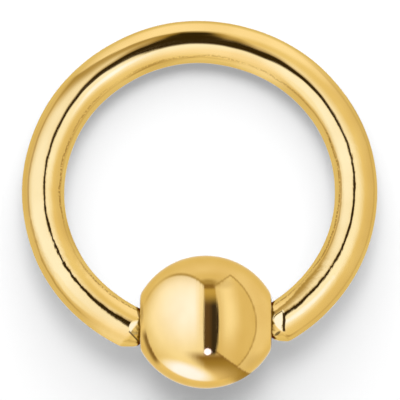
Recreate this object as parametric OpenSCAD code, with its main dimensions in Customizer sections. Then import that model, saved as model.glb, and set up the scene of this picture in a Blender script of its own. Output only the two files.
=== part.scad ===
/* [Wire] */
// Thickness of the round wire, a 16 gauge wire
wire_d = 1.25; // [1.15:0.05:1.3]
// Clear width inside the hoop, from side to side
inner_d = 7.95; // [7.6:0.05:9]
// Clear depth inside the hoop, a little less, because the bead springs the hoop open
inner_depth = 7.72; // [7.4:0.01:7.9]

/* [Wire ends] */
// Distance along the bead's axis from the bead's middle to the start of each chamfer
tip_start = 2.16; // [2.14:0.01:2.3]
// Half angle of the chamfer cone on each wire end
chamfer_angle = 30; // [25:1:35]
// Length of the chamfer along the wire
chamfer_length = 0.33; // [0.25:0.01:0.35]
// Height of the domed end past the chamfer
dome_height = 0.15; // [0.1:0.01:0.15]

/* [Bead] */
// Thickness of the bead across its middle
bead_d = 3.9; // [3.8:0.05:4.1]
// Radius of the long arc from one side face to the other
crown_r = 2.18; // [2.1:0.01:2.3]
// Length of the bead over the tops of its two side faces, before they are dimpled
bead_length = 4; // [3.95:0.01:4.02]
// Radius of the slight crown on each side face
face_r = 3.5; // [3:0.1:5]
// Radius of the rounded edge between the long arc and a side face
edge_r = 0.3; // [0.2:0.05:0.4]
// Width of the dimple in each side face
dimple_d = 1.4; // [1.38:0.01:1.5]
// Depth of each dimple
dimple_depth = 0.36; // [0.35:0.01:0.42]

/* [Place of the bead] */
// Distance from the hoop's centre to the bead's middle
bead_drop = 3.855; // [3.83:0.005:3.9]
// Distance of the bead's middle to the right of the hoop's centre
bead_shift = 0.18; // [0:0.01:0.2]

/* [Hidden] */
$fn = 96;
gold = [0.86, 0.69, 0.38];
pale_gold = [0.93, 0.78, 0.5];

wire_r = wire_d / 2;
half_width = (inner_d + wire_d) / 2;
half_depth = (inner_depth + wire_d) / 2;
bead_r = bead_d / 2;

// The hoop is an oval: tighter arcs at its sides and slacker ones at its top and bottom, which meet halfway between
joint_turn = 45;
off_centre = (half_width - half_depth) / (2 - sqrt(2));
side_r = half_width - off_centre;
hoop_r = half_depth + off_centre;

// The hoop lies on its far side and on the bead, so its plane leans up towards the bead
lean = asin((bead_r - wire_r) / (bead_drop + half_depth));
far_edge = half_depth * cos(lean) + wire_r;
near_edge = bead_drop * cos(lean) + bead_r;
hoop_y = (near_edge - far_edge) / 2;
hoop_z = wire_r + half_depth * sin(lean);

// The tighter arcs are a very little thinner and end inside the slacker ones, so that the surfaces cross cleanly
lap_end = joint_turn + 1;
lap_step = 0.005;

// Turn of each chamfer's start away from the point of the hoop under its centre
right_turn = asin((tip_start + bead_shift) / hoop_r);
left_turn = asin((tip_start - bead_shift) / hoop_r);
arc_start = right_turn - 90;
arc_end = 270 - left_turn;

// Each wire end: the wire inside a cone that a sphere closes
tip_length = chamfer_length + dome_height;
dome_base_r = wire_r - chamfer_length * tan(chamfer_angle);
dome_r = (dome_base_r ^ 2 + dome_height ^ 2) / (2 * dome_height);
cone_lead = 0.1;
blank_r = 2 * wire_r;
spare_wire = 1;
spare_turn = spare_wire / hoop_r * 180 / PI;

// The bead's long arc is centred past its axis, its side faces on its axis
// A hair is taken off at the bead's middle, so that its widest part is a true cylinder
hair = 0.0005;
crown_centre = [bead_r + hair - crown_r, 0];
face_centre = [0, bead_length / 2 - face_r];

// The rounded edge stands a hair proud, so that its arc crosses the two it joins and doesn't only touch them
proud = 2 * hair;
crown_to_edge = crown_r - edge_r + proud;
face_to_edge = face_r - edge_r + proud;
edge_centre = meeting_point(crown_centre, crown_to_edge, face_centre, face_to_edge);
edge_on_crown = crown_centre + unit(edge_centre - crown_centre) * crown_r;
edge_on_face = face_centre + unit(edge_centre - face_centre) * face_r;
past_edge = edge_on_crown + edge_on_face - edge_centre;

// Each dimple is a sphere whose rim lies on the crowned side face
dimple_r = ((dimple_d / 2) ^ 2 + dimple_depth ^ 2) / (2 * dimple_depth);
rim_height = face_centre[1] + sqrt(face_r ^ 2 - (dimple_d / 2) ^ 2);
dimple_centre = rim_height - dimple_depth + dimple_r;

function unit(v) = v / norm(v);

// The point on the side of growing x where two circles meet
function meeting_point(centre_a, radius_a, centre_b, radius_b) =
    let (
        apart = norm(centre_b - centre_a),
        along = (apart ^ 2 + radius_a ^ 2 - radius_b ^ 2) / (2 * apart),
        aside = sqrt(radius_a ^ 2 - along ^ 2),
        way = unit(centre_b - centre_a)
    )
    centre_a + way * along + [abs(way[1]), -way[0] * sign(way[1])] * aside;

// Moves a thing from the hoop's own plane to where it lies at rest
module at_rest() {
    translate([0, hoop_y, hoop_z])
        rotate([-lean, 0, 0])
            children();
}

// What a wire end is shaped by, with the chamfer's start at z = 0
module end_form() {
    intersection() {
        translate([0, 0, -cone_lead])
            cylinder(
                h = cone_lead + tip_length,
                r1 = wire_r + cone_lead * tan(chamfer_angle),
                r2 = wire_r - tip_length * tan(chamfer_angle)
            );
        translate([0, 0, tip_length - dome_r])
            sphere(dome_r);
    }
}

// The spare wire to take off past a wire end
module end_waste() {
    difference() {
        translate([0, 0, -cone_lead / 2])
            cylinder(h = 2 * spare_wire, r = blank_r);
        end_form();
    }
}

// A bent length of round wire, from one turn to another round a centre
module bent_wire(centre, bend_r, thick_r, from, to) {
    translate(centre)
        rotate([0, 0, from])
            rotate_extrude(angle = to - from)
                translate([bend_r, 0])
                    circle(thick_r);
}

module hoop() {
    color(gold)
        at_rest()
            difference() {
                union() {
                    bent_wire([0, -off_centre], hoop_r, wire_r, joint_turn, 180 - joint_turn);
                    for (side = [1, -1])
                        scale([side, 1])
                            bent_wire([off_centre, 0], side_r, wire_r - lap_step, -lap_end, lap_end);
                    bent_wire([0, off_centre], hoop_r, wire_r, arc_start - spare_turn, -joint_turn);
                    bent_wire([0, off_centre], hoop_r, wire_r, 180 + joint_turn, arc_end + spare_turn);
                }
                translate([0, off_centre])
                    rotate([0, 0, arc_start])
                        translate([hoop_r, 0, 0])
                            rotate([90, 0, 0])
                                end_waste();
                translate([0, off_centre])
                    rotate([0, 0, arc_end])
                        translate([hoop_r, 0, 0])
                            rotate([-90, 0, 0])
                                end_waste();
            }
}

// Half of the bead's section, with its axis along y
module bead_section() {
    difference() {
        intersection() {
            translate(crown_centre)
                circle(crown_r);
            translate(face_centre)
                circle(face_r);
            translate(-face_centre)
                circle(face_r);
            translate([0, -bead_length])
                square([bead_r, 2 * bead_length]);
        }
        for (side = [1, -1])
            scale([1, side])
                polygon([edge_centre, edge_on_crown, past_edge, edge_on_face]);
    }
    for (side = [1, -1])
        translate([edge_centre[0], side * edge_centre[1]])
            circle(edge_r);
}

module captive_bead() {
    color(pale_gold)
        at_rest()
            translate([bead_shift, -bead_drop, 0])
                rotate([0, 90, 0])
                    difference() {
                        rotate_extrude()
                            bead_section();
                        for (side = [1, -1])
                            translate([0, 0, side * dimple_centre])
                                sphere(dimple_r);
                    }
}

hoop();
captive_bead();
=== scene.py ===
import math

import bpy
from mathutils import Matrix, Vector


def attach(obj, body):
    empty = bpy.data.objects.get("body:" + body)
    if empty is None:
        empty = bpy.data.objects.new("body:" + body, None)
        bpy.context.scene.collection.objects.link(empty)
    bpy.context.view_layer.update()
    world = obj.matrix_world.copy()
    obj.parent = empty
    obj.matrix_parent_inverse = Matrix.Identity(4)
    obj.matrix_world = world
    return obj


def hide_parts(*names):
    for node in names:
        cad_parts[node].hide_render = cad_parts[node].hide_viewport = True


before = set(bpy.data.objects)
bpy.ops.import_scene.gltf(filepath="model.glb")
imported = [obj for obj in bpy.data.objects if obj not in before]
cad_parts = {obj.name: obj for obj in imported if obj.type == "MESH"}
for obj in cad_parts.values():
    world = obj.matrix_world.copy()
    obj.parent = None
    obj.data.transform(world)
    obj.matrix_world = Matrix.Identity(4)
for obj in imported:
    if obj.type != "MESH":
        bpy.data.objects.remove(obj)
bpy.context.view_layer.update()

# Sizes in millimetres, as in the CAD source
MM = 0.001
WIRE_R = 0.625
HALF_WIDTH = 4.6
HALF_DEPTH = 4.485
TIP_START = 2.16
CHAMFER_ANGLE = math.radians(30)
CHAMFER_LENGTH = 0.33
DOME_HEIGHT = 0.15
BEAD_R = 1.95
CROWN_R = 2.18
HALF_LENGTH = 2.0
FACE_R = 3.5
EDGE_R = 0.3
DIMPLE_HALF = 0.7
DIMPLE_DEPTH = 0.36
BEAD_DROP = 3.855
BEAD_SHIFT = 0.18

# How far to each side the ridges of the wire ends and the rims of the dimples, sharp in the CAD, are rounded
RIDGE_ROUND = 0.09
RIM_ROUND = 0.03

# Bending and polishing by hand: how far the wire's middle line wanders, in millimetres
HAND_SHIFT = 0.008
# How far its section is oval and three-sided, as shares of its radius
HAND_OVAL = 0.006
HAND_FLAT = 0.0025
# The waves round the hoop that these follow, as counts and phases
WANDER_OUT = ((4, 7, 9), (0.4, 2.1, 5.0))
WANDER_UP = ((3, 5, 8), (3.3, 0.9, 1.7))
OVAL_WAVE = ((2, 5, 9), (1.2, 4.0, 2.6))
FLAT_WAVE = ((4, 11, 23), (5.1, 0.3, 3.8))
# How far the last two waves turn the section's shape, in radians
WAVE_TURN = 2.0

# Flats that a file left round each chamfer: their depth as a share of the radius, their number and twist
FILE_DEPTH = 0.006
FILE_COUNT = 5
FILE_TWIST = 6

# How much further on a chamfer starts than in the CAD, and what is added to that on its outer side
# Here and below, 1 is the left wire end and -1 the right one
TIP_SHIFT = {1: (0.15, -0.23), -1: (0.14, -0.09)}
# The length of wire over which that shift grows
TIP_BLEND = 0.6
# Planes that cut a nick into the side of each wire end that faces the camera
# Each is a point (x and y from the bead's middle, height over the hoop's plane) and its slopes along x and y
NICK_FLOORS = {
    1: (((-2.242, -0.361, 0.597), (-0.24, 0.152)), ((-2.23, -0.41, 0.587), (-0.444, 0.301))),
    -1: (((2.28, -0.09, 0.54), (-0.143, 0.161)),),
}
NICK_WALLS = {
    1: (((-2.242, -0.361, 0.595), (-3.2, -2.9)),),
    -1: (((2.265, -0.09, 0.547), (2.2, 0.15)), ((2.1, -0.36, 0.53), (0.0, -3.0))),
}

# The hoop is an oval: tighter arcs at its sides and slacker ones at its top and bottom
OFF_CENTRE = (HALF_WIDTH - HALF_DEPTH) / (2 - math.sqrt(2))
SIDE_R = HALF_WIDTH - OFF_CENTRE
HOOP_R = HALF_DEPTH + OFF_CENTRE

# The hoop lies on its far side and on the bead, so its plane leans up towards the bead
LEAN = math.asin((BEAD_R - WIRE_R) / (BEAD_DROP + HALF_DEPTH))
FAR_EDGE = HALF_DEPTH * math.cos(LEAN) + WIRE_R
NEAR_EDGE = BEAD_DROP * math.cos(LEAN) + BEAD_R
HOOP_CENTRE = Vector((0, (NEAR_EDGE - FAR_EDGE) / 2, WIRE_R + HALF_DEPTH * math.sin(LEAN)))
AT_REST = Matrix.Translation(HOOP_CENTRE) @ Matrix.Rotation(-LEAN, 4, "X")
BEAD_CENTRE = AT_REST @ Vector((BEAD_SHIFT, -BEAD_DROP, 0))

# Turns round the hoop at which the chamfers start
START = math.asin((TIP_START + BEAD_SHIFT) / HOOP_R) - math.pi / 2
END = 1.5 * math.pi - math.asin((TIP_START - BEAD_SHIFT) / HOOP_R)

# The photo in pixels: its width, its scale, and how far its middle is right of and below the hoop's centre
PHOTO_WIDTH = 400
PX_PER_MM = 34.0
PHOTO_RIGHT = 0.4
PHOTO_DOWN = 7.8

# The camera looks straight down
VIEW_WIDTH = PHOTO_WIDTH / PX_PER_MM
VIEW_RIGHT = PHOTO_RIGHT / PX_PER_MM
VIEW_DOWN = PHOTO_DOWN / PX_PER_MM
CAMERA_DISTANCE = 200
CLIP_NEAR = 1
CLIP_FAR = 10000
SENSOR = 36

# The floor: its grey, half its side, and how far off its lamps hang
FLOOR_GREY = 0.9
FLOOR_HALF = 3000
LAMP_DISTANCE = 400
# Its lamps: name, share of the light that makes it white, zenith angle, width, whether it casts shadows
FLOOR_LAMPS = (
    ("key", 0.24, 22, 150, True),
    ("wide", 0.42, 38, 520, True),
    ("fill", 0.38, 0, 300, False),
)

# Half the side of the room of lamps round each piece. The hoop's is near, so its reflections shift round it
HOOP_ROOM = 37
BEAD_ROOM = 500
SIDES = {
    "above": (0, 0, 1),
    "below": (0, 0, -1),
    "left": (-1, 0, 0),
    "right": (1, 0, 0),
    "back": (0, 1, 0),
    "front": (0, -1, 0),
}

# The metal's colours: its darkest and lightest clouds, its edges, and the painted reflection, glints and
# shade on it
METAL_DARK = (0.735, 0.46, 0.135, 1)
METAL_LIGHT = (0.785, 0.51, 0.165, 1)
EDGE_TINT = (0.88, 0.74, 0.5, 1)
# Painted reflection of the hoop's far side: a thin dark line along the wire's inner side
FAR_SIDE_REFLECTION = (0.3, 0.15, 0.02, 1)
# Painted glints and shade on the flats in the left nick, in light and dark brown
FLAT_GLINT = (0.62, 0.36, 0.07, 1)
FLAT_SHADE = (0.36, 0.18, 0.022, 1)
# Painted shade at the top of the crease beside the left nick
CREASE_TOP_SHADE = (0.16, 0.07, 0.008, 1)
# Painted shade in the nicks: the right nick's wall and foot, and the seam in the left nick
NICK_SHADE = (0.05, 0.022, 0.003, 1)
# Painted shade where the wire ends meet the bead, in the bead's dimples and on their rims
CREASE_SHADE = (0.13, 0.055, 0.002, 1)
# The edge tint in that painted shade and on the nicks' painted flats
SHADED_EDGE_TINT = (0.3, 0.13, 0.005, 1)

# Roughness of the clean metal, and what fine marks and the painted crease shade add to it
CLEAN_ROUGHNESS = 0.05
MARK_ROUGHNESS = 0.07
CREASE_SHADE_ROUGHNESS = 0.3
# How many of each unevenness come to the millimetre; the fine marks have a number for each way of the map
WIRE_MARKS = (0.35, 14.0, 0.0)
BEAD_MARKS = (0.6, 10.0, 0.0)
CLOUDS_PER_MM = 0.55
GRIT_PER_MM = 5.0
DENTS_PER_MM = 2.6
DOTS_PER_MM = 14.0
WAVES_PER_MM = 0.9
STRETCHES_PER_MM = 0.3
# Depths of the fine marks and of the dents from polishing
MARK_DEPTH = 0.004
DENT_DEPTH = 0.02
# The painted reflection line's place round the wire, from its outer side, and how far it wanders
INNER_LINE = 1.54
LINE_WANDER = 0.25
# The flats in the left nick: how many to the millimetre, and how far they tilt
FLATS_PER_MM = 9.0
FLATS_TILT = 0.6
# Places of the painted shade and flats at the wire ends, seen from above, in millimetres from the bead's
# middle
# Two lines in the left nick, as shares of x and y and the rest of a sum that is 0 on the line
NICK_SEAM = (0.738, 0.675, 1.831)
NICK_CREST = (0.737, -0.676, 1.476)
# The painted shade beside that nick, at the top of its crease: where it starts along x, and how much further
# left for each millimetre of y
SHADE_PATCH_START = -1.9
SHADE_PATCH_SLANT = 0.3
# The right nick's wall, painted dark as shade: its place along x, and the middle of its length
DARK_WALL = (2.315, 0.01)
# The painted shade at that nick's lower end: its middle, its size, and how steeply it slants
DARK_FOOT = ((2.1, -0.33), (0.1, 0.06))
FOOT_SLANT = 0.6

# Light in the studio, as shares of what makes the metal show its own colour
GOLD = (1.08, 1.12, 1.12, 1)
DEEP = (0.96, 0.95, 0.76, 1)
WARM = (1.27, 1.45, 1.85, 1)
CREAM = (1.36, 1.78, 3.9, 1)
WHITE = (1.36, 1.95, 5.3, 1)
SHADE = (0.46, 0.39, 0.16, 1)
BROWN = (0.141, 0.103, 0.073, 1)
BLACK = (0.053, 0.047, 0.047, 1)
LAMP = (2.5, 3, 9, 1)


def corner_points(before, corner, after, steps=6):
    """Points of a soft curve that rounds a corner of a section."""
    made = []
    for i in range(steps + 1):
        t = i / steps
        x = (1 - t) ** 2 * before[0] + 2 * t * (1 - t) * corner[0] + t**2 * after[0]
        y = (1 - t) ** 2 * before[1] + 2 * t * (1 - t) * corner[1] + t**2 * after[1]
        made.append((x, y))
    return made


def arc_points(centre, radius, start, end, steps):
    """Points on an arc of a section, as (x, y), with the angles from +x."""
    made = []
    for i in range(steps + 1):
        angle = start + (end - start) * i / steps
        made.append((centre[0] + radius * math.cos(angle), centre[1] + radius * math.sin(angle)))
    return made


def smooth_mesh(name, rings, closing, flat_map):
    """A smooth skin over rings of points and a point to close each end. flat_map(i, j) is its map, in mm."""
    around = len(rings[0])
    points = [p for ring in rings for p in ring] + closing
    pairs = [(j, (j + 1) % around) for j in range(around)]
    starts = [i * around for i in range(len(rings) + 1)]
    faces = [(a + j, a + k, b + k, b + j) for a, b in zip(starts, starts[1:-1]) for j, k in pairs]
    faces += [(k, j, starts[-1]) for j, k in pairs]
    faces += [(starts[-2] + j, starts[-2] + k, starts[-1] + 1) for j, k in pairs]
    mesh = bpy.data.meshes.new(name)
    mesh.from_pydata([tuple(p * MM) for p in points], [], faces)
    spread = mesh.uv_layers.new(name="surface").data
    for face in mesh.polygons:
        corners = [divmod(v, around) for v in face.vertices]
        last = max(j for i, j in corners if i < len(rings))
        for loop, (i, j) in zip(face.loop_indices, corners):
            if j == 0 and last == around - 1 and i < len(rings):
                j = around
            spread[loop].uv = flat_map(i, j)
    mesh.shade_smooth()
    made = bpy.data.objects.new(name, mesh)
    bpy.context.scene.collection.objects.link(made)
    return made


def tip_section(slope_steps=8, dome_steps=12):
    """The wire end's section: (distance past the chamfer's start, radius), out to the middle of the dome."""
    base_r = WIRE_R - CHAMFER_LENGTH * math.tan(CHAMFER_ANGLE)
    dome_r = (base_r**2 + DOME_HEIGHT**2) / (2 * DOME_HEIGHT)
    dome_middle = CHAMFER_LENGTH + DOME_HEIGHT - dome_r
    soft_angle = math.asin(base_r / dome_r) - RIDGE_ROUND / dome_r
    along = RIDGE_ROUND * math.cos(CHAMFER_ANGLE)
    inward = RIDGE_ROUND * math.sin(CHAMFER_ANGLE)
    start = (along, WIRE_R - inward)
    end = (CHAMFER_LENGTH - along, base_r + inward)
    dome = arc_points((dome_middle, 0), dome_r, soft_angle, 0, dome_steps)
    section = corner_points((-RIDGE_ROUND, WIRE_R), (0, WIRE_R), start)
    for i in range(1, slope_steps):
        t = i / slope_steps
        section.append((start[0] + (end[0] - start[0]) * t, start[1] + (end[1] - start[1]) * t))
    section += corner_points(end, (CHAMFER_LENGTH, base_r), dome[0])
    return section + dome[1:-1], CHAMFER_LENGTH + DOME_HEIGHT


def bend(out):
    """Centre and radius of the arc that the wire follows where it faces a direction."""
    if abs(out.x) > abs(out.y):
        return Vector((math.copysign(OFF_CENTRE, out.x), 0, 0)), SIDE_R
    return Vector((0, -math.copysign(OFF_CENTRE, out.y), 0)), HOOP_R


def waves(turn, counts, phases):
    """A slow wave with no plain repeat, between about -1 and 1, which closes round the hoop."""
    total = sum(math.sin(count * turn + phase) for count, phase in zip(counts, phases))
    return total / math.sqrt(2 * len(counts))


def plane_radius(plane, middle, out, angle):
    """How far the wire reaches from its middle, at an angle round it, before it comes to a plane."""
    (x, y, height), (slope_x, slope_y) = plane
    here = height + slope_x * (middle.x - BEAD_SHIFT - x) + slope_y * (middle.y + BEAD_DROP - y)
    rise = math.sin(angle) - math.cos(angle) * (slope_x * out.x + slope_y * out.y)
    # Almost along the plane, so all the way is on one side of it
    if abs(rise) < 0.001:
        return WIRE_R if here > 0 else 0
    if rise > 0:
        return max(0, here / rise)
    return WIRE_R if here > rise * WIRE_R else 0


def nick_radius(middle, out, angle, way):
    """How far the wire reaches before it comes to its nick: the lowest floor or the highest wall."""
    floor = min(plane_radius(plane, middle, out, angle) for plane in NICK_FLOORS[way])
    wall = max(plane_radius(plane, middle, out, angle) for plane in NICK_WALLS[way])
    return max(floor, wall)


def ring_of_wire(turn, past, radius, way, around):
    """Points round the wire at a turn round the hoop, moved straight on past it, in the direction way."""
    out = Vector((math.cos(turn), math.sin(turn), 0))
    along = Vector((-math.sin(turn), math.cos(turn), 0)) * way
    up = Vector((0, 0, 1))
    centre, bend_r = bend(out)
    wander = out * waves(turn, *WANDER_OUT) + up * waves(turn, *WANDER_UP)
    middle = centre + out * bend_r + wander * HAND_SHIFT
    oval_turn = WAVE_TURN * waves(turn, *OVAL_WAVE)
    flat_turn = WAVE_TURN * waves(turn, *FLAT_WAVE)
    # How far on this ring is from the chamfer's start, and how much of that start's shift it takes
    down = past / CHAMFER_LENGTH
    from_start = past if past > 0 else -abs(turn - (START if way < 0 else END)) * HOOP_R
    share = max(0, 1 - down if past > 0 else 1 + from_start / TIP_BLEND)
    shift, outer_shift = TIP_SHIFT[way]
    ring = []
    for j in range(around):
        angle = 2 * math.pi * j / around
        oval = math.cos(2 * angle + oval_turn)
        flat = math.cos(3 * angle + flat_turn)
        filed = math.sin(FILE_COUNT * angle + FILE_TWIST * down + turn) * min(1, down)
        thick = radius * (1 + HAND_OVAL * oval + HAND_FLAT * flat + FILE_DEPTH * filed)
        moved = middle + along * (past + share * (shift + outer_shift * max(0, math.cos(angle))))
        if from_start > -TIP_BLEND:
            thick = min(thick, nick_radius(moved, out, angle, way))
        ring.append(AT_REST @ (moved + thick * (math.cos(angle) * out + math.sin(angle) * up)))
    return ring


def make_hoop(steps=420, tip_steps=50, around=120):
    """The hoop, and the length of its wire from one chamfer's start to the other's."""
    section, tip_length = tip_section()
    length = (END - START) * HOOP_R
    soft = RIDGE_ROUND / HOOP_R
    tip = TIP_BLEND / HOOP_R
    turns = [START + soft + (tip - soft) * i / tip_steps for i in range(1, tip_steps)]
    turns += [START + tip + (END - START - 2 * tip) * i / steps for i in range(steps + 1)]
    turns += [END - tip + (tip - soft) * i / tip_steps for i in range(1, tip_steps)]
    # From the tip of the right end, round the hoop, to the tip of the left end
    rings = []
    along = []
    for past, radius in reversed(section):
        rings.append(ring_of_wire(START + max(0, -past) / HOOP_R, max(0, past), radius, -1, around))
        along.append(-past)
    for turn in turns:
        rings.append(ring_of_wire(turn, 0, WIRE_R, -1 if turn < math.pi / 2 else 1, around))
        along.append((turn - START) * HOOP_R)
    for past, radius in section:
        rings.append(ring_of_wire(END - max(0, -past) / HOOP_R, max(0, past), radius, 1, around))
        along.append(length + past)
    closing = [ring_of_wire(turn, tip_length, 0, way, 1)[0] for turn, way in ((START, -1), (END, 1))]
    along += [-tip_length, length + tip_length]

    def flat_map(i, j):
        # The two closing points count on from the last ring
        if i == len(rings):
            i += j
        return along[i], 2 * math.pi * WIRE_R * j / around

    return smooth_mesh("polished_hoop", rings, closing, flat_map), length


def bead_section(crown_steps=70, edge_steps=20, face_steps=12, dimple_steps=16):
    """The bead's section, as (place along the axis, radius), and how far from the middle its ends are."""
    crown_middle = (0, BEAD_R - CROWN_R)
    face_middle = (HALF_LENGTH - FACE_R, 0)
    # The rounded edge's middle is where two circles meet, away from the axis
    apart = math.dist(crown_middle, face_middle)
    to_crown = CROWN_R - EDGE_R
    to_face = FACE_R - EDGE_R
    along = (apart**2 + to_crown**2 - to_face**2) / (2 * apart)
    aside = math.sqrt(to_crown**2 - along**2)
    way = ((face_middle[0] - crown_middle[0]) / apart, (face_middle[1] - crown_middle[1]) / apart)
    edge_x = crown_middle[0] + way[0] * along + way[1] * aside
    edge_y = crown_middle[1] + way[1] * along - way[0] * aside
    crown_end = math.atan2(edge_y - crown_middle[1], edge_x - crown_middle[0])
    face_start = math.atan2(edge_y - face_middle[1], edge_x - face_middle[0])
    rim_angle = math.asin(DIMPLE_HALF / FACE_R)
    rim = (face_middle[0] + FACE_R * math.cos(rim_angle), DIMPLE_HALF)
    dimple_r = (DIMPLE_HALF**2 + DIMPLE_DEPTH**2) / (2 * DIMPLE_DEPTH)
    dimple_middle = (rim[0] - DIMPLE_DEPTH + dimple_r, 0)
    soft_face = rim_angle + RIM_ROUND / FACE_R
    soft_dimple = math.asin(DIMPLE_HALF / dimple_r) - RIM_ROUND / dimple_r
    dimple = arc_points(dimple_middle, dimple_r, math.pi - soft_dimple, math.pi, dimple_steps)
    half = arc_points(crown_middle, CROWN_R, math.pi / 2, crown_end, crown_steps)
    half += arc_points((edge_x, edge_y), EDGE_R, crown_end, face_start, edge_steps)[1:]
    half += arc_points(face_middle, FACE_R, face_start, soft_face, face_steps)[1:]
    half += corner_points(half[-1], rim, dimple[0])[1:]
    half += dimple[1:-1]
    other = [(-x, r) for x, r in reversed(half)]
    return other[:-1] + half, rim[0] - DIMPLE_DEPTH


def make_bead(around=240):
    """The bead: its section turned round its axis."""
    section, floor_x = bead_section()
    middle = Vector((BEAD_SHIFT, -BEAD_DROP, 0))
    rings = []
    for x, radius in section:
        ring = []
        for j in range(around):
            angle = 2 * math.pi * j / around
            ring.append(AT_REST @ (middle + Vector((x, radius * math.cos(angle), radius * math.sin(angle)))))
        rings.append(ring)
    closing = [AT_REST @ (middle + Vector((side * floor_x, 0, 0))) for side in (-1, 1)]
    girth = 2 * math.pi * BEAD_R
    step = girth / len(section)

    def flat_map(i, j):
        return girth * j / around, i * step

    return smooth_mesh("polished_bead", rings, closing, flat_map)


class Nodes:
    """Short ways to write a node tree."""

    def __init__(self, tree):
        self.tree = tree
        tree.nodes.clear()

    def new(self, kind, **inputs):
        node = self.tree.nodes.new(kind)
        for name, value in inputs.items():
            self.set(node.inputs[name.replace("_", " ")], value)
        return node

    def set(self, socket, value):
        if isinstance(value, bpy.types.NodeSocket):
            self.tree.links.new(value, socket)
        else:
            socket.default_value = value

    def operation(self, node, kind, values):
        node.operation = kind
        for socket, value in zip(node.inputs, values):
            self.set(socket, value)
        return node.outputs[0]

    def math(self, kind, *values):
        return self.operation(self.tree.nodes.new("ShaderNodeMath"), kind, values)

    def vector(self, kind, *values):
        return self.operation(self.tree.nodes.new("ShaderNodeVectorMath"), kind, values)

    def add(self, a, b):
        return self.math("ADD", a, b)

    def sub(self, a, b):
        return self.math("SUBTRACT", a, b)

    def mul(self, first, *others):
        for value in others:
            first = self.math("MULTIPLY", first, value)
        return first

    def most(self, first, *others):
        """The greatest of several values."""
        for value in others:
            first = self.math("MAXIMUM", first, value)
        return first

    def apart(self, vector):
        """The parts of a vector along x, y and z."""
        return self.new("ShaderNodeSeparateXYZ", Vector=vector).outputs

    def noise(self, place, scale, detail, **more):
        node = self.new("ShaderNodeTexNoise", Vector=place, Scale=scale, Detail=detail, **more)
        return node.outputs[0]

    def smooth(self, value, low, high):
        """0 below low, 1 above high, smooth between; low may be above high to turn it round."""
        node = self.tree.nodes.new("ShaderNodeMapRange")
        node.interpolation_type = "SMOOTHSTEP"
        flipped = low > high
        self.set(node.inputs["Value"], value)
        node.inputs["From Min"].default_value = min(low, high)
        node.inputs["From Max"].default_value = max(low, high)
        node.inputs["To Min"].default_value = 1 if flipped else 0
        node.inputs["To Max"].default_value = 0 if flipped else 1
        return node.outputs[0]

    def line(self, off, reach, core=0.0):
        """1 where a distance off a line is under core, 0 where it is over reach, on both sides."""
        return self.smooth(self.math("ABSOLUTE", off), reach, core)

    def mix(self, share, a, b):
        node = self.tree.nodes.new("ShaderNodeMix")
        node.data_type = "RGBA"
        self.set(node.inputs["Factor"], share)
        self.set(node.inputs[6], a)
        self.set(node.inputs[7], b)
        return node.outputs[2]

    def oval(self, x, y, middle, size):
        """How far out a place is in an oval: 0 in its middle, 1 on its edge."""
        a = self.mul(self.sub(x, middle[0]), 1 / size[0])
        b = self.mul(self.sub(y, middle[1]), 1 / size[1])
        return self.math("SQRT", self.add(self.mul(a, a), self.mul(b, b)))

    def patch(self, x, y, middle, size, edge=1.1, full=0.3):
        """A soft oval patch: 0 from edge outwards and 1 inside full, as shares of its size."""
        return self.smooth(self.oval(x, y, middle, size), edge, full)

    def off_line(self, x, y, line):
        """How far a place is off a straight line, which is given as shares of x and y and the rest."""
        return self.add(self.add(self.mul(x, line[0]), self.mul(y, line[1])), line[2])


def reflection_line_and_dents(n, place, cloud, base, wire_length):
    """A painted reflection of the hoop's far side as a thin dark line along the inside of the wire, and
    small dents from polishing, away from its top.
    """
    along, round_wire = n.apart(place)[:2]
    from_top = n.math("ABSOLUTE", n.sub(along, wire_length / 2))
    along_only = n.vector("MULTIPLY", place, (1.0, 0.0, 0.0))
    wander = n.mul(n.sub(n.noise(along_only, WAVES_PER_MM, 2.0), 0.5), LINE_WANDER)
    off = n.sub(n.sub(round_wire, INNER_LINE), wander)
    dots = n.smooth(n.noise(place, DOTS_PER_MM, 1.0), 0.36, 0.54)
    stretches = n.smooth(n.noise(along_only, STRETCHES_PER_MM, 1.0), 0.36, 0.5)
    strength = n.add(0.35, n.mul(n.smooth(from_top, 3.0, 6.0), 0.35))
    # Painted reflection of the hoop's far side, broken into dots and stretches
    base = n.mix(n.mul(n.line(off, 0.06, 0.01), n.mul(dots, stretches), strength), base, FAR_SIDE_REFLECTION)
    dents = n.noise(n.vector("MULTIPLY", place, (1.0, 1.4, 0.0)), DENTS_PER_MM, 2.5)
    strength = n.mul(n.smooth(from_top, 3.5, 7.5), n.add(0.2, n.mul(n.smooth(cloud, 0.4, 0.65), 0.5)))
    dented = n.new("ShaderNodeBump", Height=dents, Strength=strength, Distance=DENT_DEPTH * MM)
    return base, dented.outputs[0]


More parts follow.
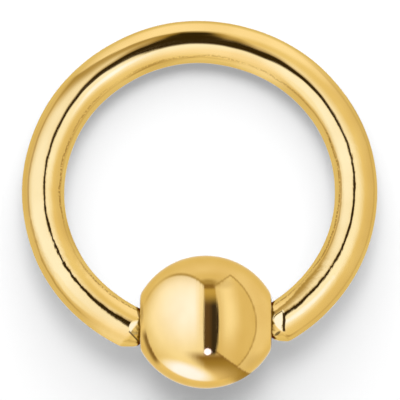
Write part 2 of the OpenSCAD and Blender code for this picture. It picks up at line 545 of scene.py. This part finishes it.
def nicked_ends(n, from_bead, grit, base, normal):
    """The nicks in the wire ends: rough and brown on the left, with painted glints and shade on its flats,
    and painted shade in the corners of both.
    """
    x, y = n.apart(from_bead)[:2]
    above = n.off_line(x, y, NICK_SEAM)
    inward = n.off_line(x, y, NICK_CREST)
    left = n.smooth(x, -1.5, -1.7)
    filed = n.mul(n.smooth(inward, 0.035, 0.06), n.smooth(above, -0.01, 0.03), left)
    cells = n.new("ShaderNodeTexVoronoi", Vector=from_bead, Scale=FLATS_PER_MM).outputs["Color"]
    share = n.mul(filed, FLATS_TILT)
    shares = n.new("ShaderNodeCombineXYZ", X=share, Y=share, Z=share).outputs[0]
    tilt = n.vector("MULTIPLY", n.vector("SUBTRACT", cells, (0.5, 0.5, 0.5)), shares)
    normal = n.vector("NORMALIZE", n.vector("ADD", normal, tilt))
    shade = n.new("ShaderNodeSeparateColor", Color=cells).outputs[1]
    # Each flat is painted a lighter or darker brown as if it caught the light: painted glints and shade
    base = n.mix(n.mul(filed, 0.9), base, n.mix(n.smooth(shade, 0.25, 0.6), FLAT_GLINT, FLAT_SHADE))
    # Painted shade at the top of the crease beside the left nick
    shade_patch_edge = n.sub(n.add(x, n.mul(grit, 0.06)), n.sub(SHADE_PATCH_START, n.mul(y, SHADE_PATCH_SLANT)))
    shade_patch = n.mul(n.smooth(shade_patch_edge, 0.0, 0.03), n.smooth(x, -1.6, -1.7))
    shade_patch = n.mul(shade_patch, n.smooth(y, 0.08, 0.2), n.smooth(y, 0.8, 0.7), 0.85)
    base = n.mix(shade_patch, base, CREASE_TOP_SHADE)
    seam = n.mul(n.line(above, 0.035, 0.01), n.smooth(inward, -0.02, 0.02), left, 0.85)
    wall = n.line(n.sub(n.add(x, n.mul(grit, 0.05)), DARK_WALL[0]), 0.048, 0.03)
    wall = n.mul(wall, n.line(n.sub(y, DARK_WALL[1]), 0.3, 0.25))
    slanted = n.add(y, n.mul(n.sub(x, DARK_FOOT[0][0]), -FOOT_SLANT))
    foot = n.mul(n.patch(x, slanted, *DARK_FOOT, 1.1, 0.6), 0.8)
    # Painted shade: the right nick's wall and foot, and the seam in the left nick
    painted_shade = n.most(wall, foot, seam)
    return n.mix(painted_shade, base, NICK_SHADE), normal, n.most(painted_shade, n.mul(filed, 0.7))


def gold(name, marks_per_mm, crease, wire_length=None):
    """Polished gold. crease says where shade is painted where the wire ends meet the bead, and wire_length
    brings on a wire a painted reflection line, dents from polishing and the nicks' painted glints and shade.
    """
    made = bpy.data.materials.new(name)
    made.use_nodes = True
    n = Nodes(made.node_tree)
    place = n.new("ShaderNodeTexCoord").outputs["UV"]
    marks = n.noise(n.vector("MULTIPLY", place, marks_per_mm), 1.0, 3.0, Roughness=0.6)
    cloud = n.noise(place, CLOUDS_PER_MM, 2.0)
    base = n.mix(n.smooth(cloud, 0.3, 0.7), METAL_DARK, METAL_LIGHT)
    rough = n.add(CLEAN_ROUGHNESS, n.mul(n.smooth(marks, 0.35, 0.8), MARK_ROUGHNESS))
    from_bead = n.vector("SUBTRACT", n.new("ShaderNodeNewGeometry").outputs["Position"], BEAD_CENTRE * MM)
    from_bead = n.vector("MULTIPLY", from_bead, (1 / MM, 1 / MM, 1 / MM))
    grit = n.noise(from_bead, GRIT_PER_MM, 2.0)
    bump = n.new("ShaderNodeBump", Height=marks, Strength=0.25, Distance=MARK_DEPTH * MM)
    nick_shade_and_flats = 0.0
    if wire_length:
        base, normal = reflection_line_and_dents(n, place, cloud, base, wire_length)
        base, normal, nick_shade_and_flats = nicked_ends(n, from_bead, grit, base, normal)
        n.set(bump.inputs["Normal"], normal)
    # Painted shade where the wire ends meet the bead
    x, y, z = n.apart(from_bead)
    aside = n.math("SQRT", n.add(n.math("POWER", y, 2.0), n.math("POWER", z, 2.0)))
    painted_shade = crease(n, n.math("ABSOLUTE", x), aside, n.sub(grit, 0.5))
    base = n.mix(painted_shade, base, CREASE_SHADE)
    rough = n.add(rough, n.mul(painted_shade, CREASE_SHADE_ROUGHNESS))
    # The edge tint turns brown in the painted shade and on the nicks' flats
    tint = n.mix(n.most(painted_shade, nick_shade_and_flats), EDGE_TINT, SHADED_EDGE_TINT)
    shader = n.new("ShaderNodeBsdfPrincipled", Metallic=1.0, Roughness=rough, Base_Color=base)
    n.set(shader.inputs["Specular Tint"], tint)
    n.set(shader.inputs["Normal"], bump.outputs[0])
    n.new("ShaderNodeOutputMaterial", Surface=shader.outputs[0])
    return made


def wire_crease(n, side, aside, grit):
    """Painted shade on the wire inside the dimples. side is how far along the bead's axis, aside how far off
    it.
    """
    return n.mul(n.smooth(n.add(side, n.mul(grit, 0.3)), 2.03, 1.95), n.smooth(aside, 1.0, 0.8))


def bead_crease(n, side, aside, grit):
    """Painted shade in the bead's dimples and on their rims."""
    return n.mul(n.smooth(n.add(aside, n.mul(grit, 0.2)), 0.84, 0.7), n.smooth(side, 1.5, 1.6))


def studio_place(n, centre):
    """Where a place in the studio shows on a mirror ball seen from above: across and up, from -1 to 1."""
    place = n.new("ShaderNodeNewGeometry").outputs["Position"]
    way = n.vector("NORMALIZE", n.vector("SUBTRACT", place, centre * MM))
    half = n.vector("NORMALIZE", n.vector("ADD", way, (0, 0, 1)))
    return n.apart(half)[:2]


def left_panel(n, x, y, far, below, colour):
    """The bright panel to the left of the gap, with a dark line round its top."""
    rim_light = (1.02, 1.07, 1.05, 1)
    gap_light = (1.2, 1.3, 1.42, 1)
    rim = 1.02
    edge = n.oval(x, y, (-0.35, 0.08), (0.49, 0.63))
    edge = n.math("MINIMUM", edge, n.add(n.mul(far, 1.17), n.mul(n.sub(1, below), 9)))
    panel = n.mix(n.smooth(edge, rim, 0.7), rim_light, WARM)
    lit = n.patch(x, y, (-0.25, 0.2), (0.58, 0.76), 1.05, 0.1)
    panel = n.mix(lit, panel, CREAM)
    panel = n.mix(n.smooth(x, -0.17, -0.04), panel, n.mix(lit, panel, gap_light))
    colour = n.mix(n.mul(n.smooth(edge, rim, 0.98), n.smooth(x, -0.018, -0.036)), colour, panel)
    line = n.mul(n.line(n.sub(edge, rim), 0.06), n.smooth(x, 0.02, -0.03))
    return n.mix(n.mul(line, n.smooth(y, 0.2, 0.45), 0.75), colour, SHADE)


def right_panel(n, x, y, past_gap, past_foot, colour):
    """The panel to the right of the gap, dimmer further off, in a thin dark frame."""
    gap_light = (0.98, 1.0, 0.95, 1)
    full_light = (1.25, 1.38, 1.65, 1)
    past_side = n.sub(n.oval(x, y, (-0.1, -0.02), (0.775, 0.88)), 1.0)
    past_top = n.sub(y, n.add(n.mul(x, 0.78), 0.45))
    out = n.most(past_side, past_top, past_foot)
    past_corner = n.sub(n.sub(x, y), -0.42)
    inside = n.mul(n.smooth(out, 0.01, -0.01), n.smooth(past_gap, -0.01, 0.02))
    inside = n.mul(inside, n.smooth(past_corner, 0.0, 0.12))
    panel = n.mix(n.smooth(past_gap, 0.0, 0.13), gap_light, full_light)
    panel = n.mix(n.smooth(past_gap, 0.14, 0.34), panel, DEEP)
    panel = n.mix(n.mul(n.smooth(y, 0.0, -0.5), 0.75), panel, DEEP)
    colour = n.mix(inside, colour, panel)
    return n.mix(n.mul(n.line(out, 0.024), n.smooth(x, 0.08, 0.16), 0.72), colour, SHADE)


def lower_card(n, x, y, card, colour):
    """A shaded card at the photo's lower side, and the bright end of the tent to the left of it."""
    lamp_side = (0.33, 0.245, 0.09, 1)
    shade = n.mix(n.smooth(y, -0.5, -0.63), lamp_side, SHADE)
    shade = n.mix(n.mul(n.smooth(y, -0.6, -0.84), n.smooth(x, 0.55, 0.05)), shade, GOLD)
    slant = n.add(x, n.mul(n.add(y, 0.6), 0.85))
    colour = n.mix(n.mul(card, n.smooth(slant, -0.22, 0.02)), colour, shade)
    right, up = n.add(x, 0.24), n.add(y, 0.75)
    along = n.add(n.mul(right, 0.93), n.mul(up, -0.36))
    across = n.add(n.mul(right, 0.36), n.mul(up, 0.93))
    glow = n.oval(along, across, (-0.01, 0), (0.48, 0.185))
    colour = n.mix(n.smooth(glow, 1.0, 0.6), colour, WARM)
    return n.mix(n.smooth(glow, 0.86, 0.3), colour, WHITE)


def tent_edge(n, x, y, far, below, past_foot, card, colour):
    """The floor past the tent's lower edge, and the dark edges beside it."""
    near_floor = (1.1, 1.12, 1.05, 1)
    far_floor = (1.02, 1.06, 1.0, 1)
    card_line = (0.3, 0.2, 0.07, 1)
    tent_line = (0.24, 0.17, 0.06, 1)
    floor = n.mul(n.smooth(far, 0.84, 0.87), below, n.smooth(x, 0.36, 0.2))
    colour = n.mix(floor, colour, near_floor)
    floor = n.mul(n.smooth(far, 0.84, 0.96), n.sub(1, n.mul(card, n.smooth(x, 0.3, 0.42))))
    colour = n.mix(floor, colour, far_floor)
    line = n.mul(n.line(past_foot, 0.028), n.smooth(x, 0.1, 0.16), n.smooth(y, -0.9, -0.78), 0.6)
    colour = n.mix(line, colour, card_line)
    past_edge = n.sub(n.oval(x, y, (0, 0), (0.835, 0.98)), 1)
    streak = n.mul(n.smooth(past_edge, -0.045, -0.02), n.smooth(past_edge, 0.07, 0.0))
    streak = n.mul(streak, n.patch(x, y, (-0.75, -0.42), (0.24, 0.36), 1.0, 0.5), 0.9)
    return n.mix(streak, colour, tent_line)


def bead_gap(n, x, y, past_gap, colour):
    """The dark gap that the camera looks in by, and the tent's top end in it."""
    top_light = (0.68, 0.6, 0.27, 1)
    top_shade = (0.33, 0.245, 0.1, 1)
    inner = n.mix(n.smooth(x, 0.04, 0.1), BROWN, BLACK)
    inner = n.mix(n.smooth(y, 0.24, 0.46), inner, top_light)
    inner = n.mix(n.smooth(y, 0.48, 0.53), inner, top_shade)
    gap = n.mul(n.smooth(x, -0.04, -0.016), n.smooth(past_gap, 0.01, -0.01))
    gap = n.mul(gap, n.smooth(y, 0.6, 0.55), n.smooth(y, -0.52, -0.44))
    return n.mix(gap, colour, inner)


def bead_studio(n, x, y):
    """The room round the bead: a pale tent with a bright panel on each side of the dark gap."""
    wire_image = (0.2, 0.14, 0.06, 1)
    far = n.oval(x, y, (0.02, -0.03), (1, 1))
    below = n.smooth(y, 0.12, -0.1)
    past_gap = n.sub(x, n.sub(0.178, n.mul(y, y, 0.2)))
    past_foot = n.sub(n.sub(-0.32, n.mul(x, 0.86)), y)
    card = n.mul(n.smooth(y, -0.4, -0.54), n.smooth(past_foot, -0.012, 0.012))
    # The top end of the tent is darker where it dips between the panels
    colour = n.mix(n.patch(x, y, (0.03, 0.68), (0.4, 0.12), 1.0, 0.1), GOLD, DEEP)
    dip = n.patch(x, y, (0.03, 0.58), (0.2, 0.1), 1.0, 0.35)
    colour = n.mix(n.mul(dip, 0.85), colour, SHADE)
    colour = left_panel(n, x, y, far, below, colour)
    colour = right_panel(n, x, y, past_gap, past_foot, colour)
    colour = lower_card(n, x, y, card, colour)
    # Duller places: the lower right edge and the top of the right panel
    for middle, size in (((0.68, -0.66), (0.32, 0.24)), ((0.25, 0.58), (0.17, 0.11))):
        colour = n.mix(n.mul(n.patch(x, y, middle, size, 1.0, 0.2), 0.28), colour, SHADE)
    colour = tent_edge(n, x, y, far, below, past_foot, card, colour)
    colour = bead_gap(n, x, y, past_gap, colour)
    # The two wire ends beside the bead, and the small lamp
    left_end = n.patch(x, y, (-0.875, 0.12), (0.045, 0.24), 1.1, 0.2)
    right_end = n.patch(x, y, (0.95, -0.05), (0.04, 0.3), 1.1, 0.2)
    colour = n.mix(n.mul(n.most(left_end, n.mul(right_end, 0.45)), 0.55), colour, wire_image)
    return n.mix(n.patch(x, y, (0.025, -0.437), (0.047, 0.05), 1.2, 0.7), colour, LAMP)


def hoop_tent(n, x, y):
    """The tent: warm at its top end and round the camera, dimmer at its sides."""
    low_light = (1.08, 1.12, 1.0, 1)
    top_light = (1.3, 1.44, 1.8, 1)
    side_light = (0.94, 0.95, 0.82, 1)
    far_light = (0.98, 1.05, 1.0, 1)
    camera_light = (1.28, 1.42, 1.9, 1)
    colour = n.mix(n.smooth(y, 0.42, 0.6), low_light, top_light)
    colour = n.mix(n.smooth(n.math("ABSOLUTE", n.sub(x, 0.08)), 0.25, 0.65), colour, side_light)
    colour = n.mix(n.smooth(n.oval(x, y, (0, 0), (1, 1)), 0.8, 0.92), colour, far_light)
    return n.mix(n.patch(x, y, (-0.06, -0.26), (0.48, 0.42)), colour, camera_light)


def hoop_panels(n, x, y, colour):
    """The bright panel to the left in its dark frame, and the bright opening to the right of the gap."""
    panel_light = (1.32, 1.7, 3.2, 1)
    corner_light = (1.28, 1.54, 2.35, 1)
    opening_light = (1.34, 1.7, 3.0, 1)
    spot_light = (1.38, 1.92, 4.6, 1)
    foot_light = (1.32, 1.5, 2.0, 1)
    colour = n.mix(n.patch(x, y, (-0.33, 0.07), (0.42, 0.43), 1.1, 0.35), colour, panel_light)
    colour = n.mix(n.patch(x, y, (-0.42, -0.25), (0.15, 0.15), 1.1, 0.2), colour, corner_light)
    past_frame = n.sub(n.oval(x, y, (-0.02, -0.02), (0.68, 0.7)), 1)
    line = n.mul(n.line(past_frame, 0.09), n.smooth(x, -0.42, -0.56), n.smooth(y, -0.62, -0.42), 0.62)
    colour = n.mix(line, colour, SHADE)
    past_top = n.sub(y, n.sub(0.49, n.mul(n.add(x, 0.07), 0.19)))
    streak = n.mul(n.smooth(past_top, 0.04, 0.0), n.smooth(past_top, -0.22, -0.02))
    streak = n.mul(streak, n.smooth(x, -0.6, -0.46), n.smooth(x, 0.0, -0.06), 0.85)
    colour = n.mix(streak, colour, SHADE)
    colour = n.mix(n.patch(x, y, (0.12, -0.02), (0.34, 0.38)), colour, opening_light)
    colour = n.mix(n.patch(x, y, (0.19, -0.09), (0.13, 0.11)), colour, spot_light)
    glow = n.mul(n.patch(x, y, (-0.36, -0.7), (0.27, 0.3), 1.0, 0.2), 0.6)
    return n.mix(glow, colour, foot_light)


def hoop_gap(n, x, y, colour):
    """The narrow dark gap that the camera looks in by, with a brown fringe."""
    fringe_light = (0.4, 0.32, 0.08, 1)
    gap_light = (0.04, 0.03, 0.01, 1)
    half_width = n.add(0.05, n.mul(n.smooth(y, 0.16, -0.12), 0.032))
    past_side = n.sub(n.math("ABSOLUTE", n.add(x, 0.014)), half_width)
    ends = n.mul(n.smooth(y, -0.09, 0.02), n.smooth(y, 0.56, 0.42))
    fringe = n.add(0.025, n.mul(n.smooth(y, 0.1, 0.3), 0.03))
    colour = n.mix(n.mul(n.smooth(n.sub(past_side, fringe), 0.0, -0.05), ends, 0.8), colour, fringe_light)
    return n.mix(n.mul(n.smooth(past_side, 0.012, -0.018), ends), colour, gap_light)


def hoop_studio(n, x, y):
    """The room round the hoop: a pale tent with a bright panel on each side of a narrower gap."""
    colour = hoop_panels(n, x, y, hoop_tent(n, x, y))
    # Duller places: the lower end and the far right
    dim = n.patch(x, y, (0.2, -0.77), (0.26, 0.13), 1.0, 0.2)
    dim = n.most(dim, n.patch(x, y, (0.88, 0.46), (0.16, 0.34), 1.0, 0.2))
    colour = n.mix(n.mul(dim, 0.28), colour, SHADE)
    # The tent's lower edge on the right
    past_edge = n.sub(n.oval(x, y, (0.02, 0.02), (0.8, 0.76)), 1)
    line = n.mul(n.line(past_edge, 0.07), n.smooth(n.sub(x, n.mul(y, 0.5)), 0.0, 0.3), 0.3)
    colour = n.mix(line, colour, SHADE)
    colour = n.mix(n.mul(n.patch(x, y, (0.32, -0.66), (0.2, 0.07), 1.1, 0.2), 0.6), colour, SHADE)
    return hoop_gap(n, x, y, colour)


def hang_lamp(lamp, place, way, takes):
    """Puts a lamp in its place, facing away from a direction, for the things in one collection alone."""
    made = bpy.data.objects.new(lamp.name, lamp)
    made.location = place * MM
    made.rotation_mode = "QUATERNION"
    made.rotation_quaternion = way.to_track_quat("Z", "Y")
    made.light_linking.receiver_collection = takes
    made.visible_camera = False
    bpy.context.scene.collection.objects.link(made)


def light_room(name, piece, pattern, centre, half_size):
    """Six large lamps round one piece, which make up the studio that its metal reflects."""
    takes = bpy.data.collections.new(name)
    takes.objects.link(piece)
    for side, way in SIDES.items():
        lamp = bpy.data.lights.new(f"{name}_{side}", "AREA")
        lamp.shape = "SQUARE"
        lamp.size = 2 * half_size * MM
        lamp.energy = math.pi * lamp.size**2
        lamp.use_nodes = True
        n = Nodes(lamp.node_tree)
        x, y = studio_place(n, centre)
        glow = n.new("ShaderNodeEmission", Color=pattern(n, x, y))
        n.new("ShaderNodeOutputLight", Surface=glow.outputs[0])
        hang_lamp(lamp, centre + Vector(way) * half_size, Vector(way), takes)


def make_floor():
    """A plain white card that the ring lies on."""
    mesh = bpy.data.meshes.new("floor")
    half = FLOOR_HALF * MM
    corners = [(-half, -half, 0), (half, -half, 0), (half, half, 0), (-half, half, 0)]
    mesh.from_pydata(corners, [], [(0, 1, 2, 3)])
    floor = bpy.data.objects.new("floor", mesh)
    bpy.context.scene.collection.objects.link(floor)
    material = bpy.data.materials.new("white_card")
    material.use_nodes = True
    shader = material.node_tree.nodes["Principled BSDF"]
    shader.inputs["Base Color"].default_value = (FLOOR_GREY, FLOOR_GREY, FLOOR_GREY, 1)
    shader.inputs["Roughness"].default_value = 1.0
    shader.inputs["Specular IOR Level"].default_value = 0
    floor.data.materials.append(material)
    floor.visible_glossy = False
    floor.visible_shadow = False
    return floor


def light_floor(floor):
    """Lamps for the floor alone: two from the photo's top give the soft shadow, and one fills it up."""
    takes = bpy.data.collections.new("floor_light")
    takes.objects.link(floor)
    for name, share, zenith, size, shadow in FLOOR_LAMPS:
        lamp = bpy.data.lights.new(name, "AREA")
        lamp.shape = "DISK"
        lamp.size = size * MM
        lamp.use_shadow = shadow
        lamp.cycles.use_multiple_importance_sampling = False
        way = Vector((0, math.sin(math.radians(zenith)), math.cos(math.radians(zenith))))
        seen = size**2 / (size**2 + 4 * LAMP_DISTANCE**2) * way.z
        lamp.energy = share / FLOOR_GREY * math.pi**2 * (lamp.size / 2) ** 2 / seen
        hang_lamp(lamp, way * LAMP_DISTANCE, way, takes)


def make_camera():
    """A far camera over the ring, which shows it as the photo does."""
    camera = bpy.data.cameras.new("camera")
    camera.sensor_width = SENSOR
    camera.lens = SENSOR * CAMERA_DISTANCE / VIEW_WIDTH
    camera.clip_start = CLIP_NEAR * MM
    camera.clip_end = CLIP_FAR * MM
    made = bpy.data.objects.new("camera", camera)
    made.location = (HOOP_CENTRE + Vector((VIEW_RIGHT, -VIEW_DOWN, CAMERA_DISTANCE))) * MM
    bpy.context.scene.collection.objects.link(made)
    bpy.context.scene.camera = made


def make_world():
    """A white background, which lights nothing."""
    world = bpy.data.worlds.new("pale_room")
    world.use_nodes = True
    world.node_tree.nodes["Background"].inputs["Color"].default_value = (1, 1, 1, 1)
    world.node_tree.nodes["Background"].inputs["Strength"].default_value = 1.0
    world.cycles_visibility.glossy = False
    world.cycles_visibility.diffuse = False
    bpy.context.scene.world = world


hoop, wire_length = make_hoop()
bead = make_bead()
hoop.data.materials.append(gold("polished_gold_wire", WIRE_MARKS, wire_crease, wire_length))
bead.data.materials.append(gold("polished_gold_bead", BEAD_MARKS, bead_crease))
for piece, node, body in ((hoop, "hoop", "ring"), (bead, "captive_bead", "bead")):
    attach(piece, body)
    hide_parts(node)
    # The pieces don't mirror in each other, and bounce no light to the floor
    piece.visible_glossy = False
    piece.visible_diffuse = False

light_floor(make_floor())
make_camera()
make_world()
light_room("hoop_light", hoop, hoop_studio, HOOP_CENTRE, HOOP_ROOM)
light_room("bead_light", bead, bead_studio, BEAD_CENTRE, BEAD_ROOM)

scene = bpy.context.scene
scene.view_settings.view_transform = "Standard"
scene.view_settings.look = "None"
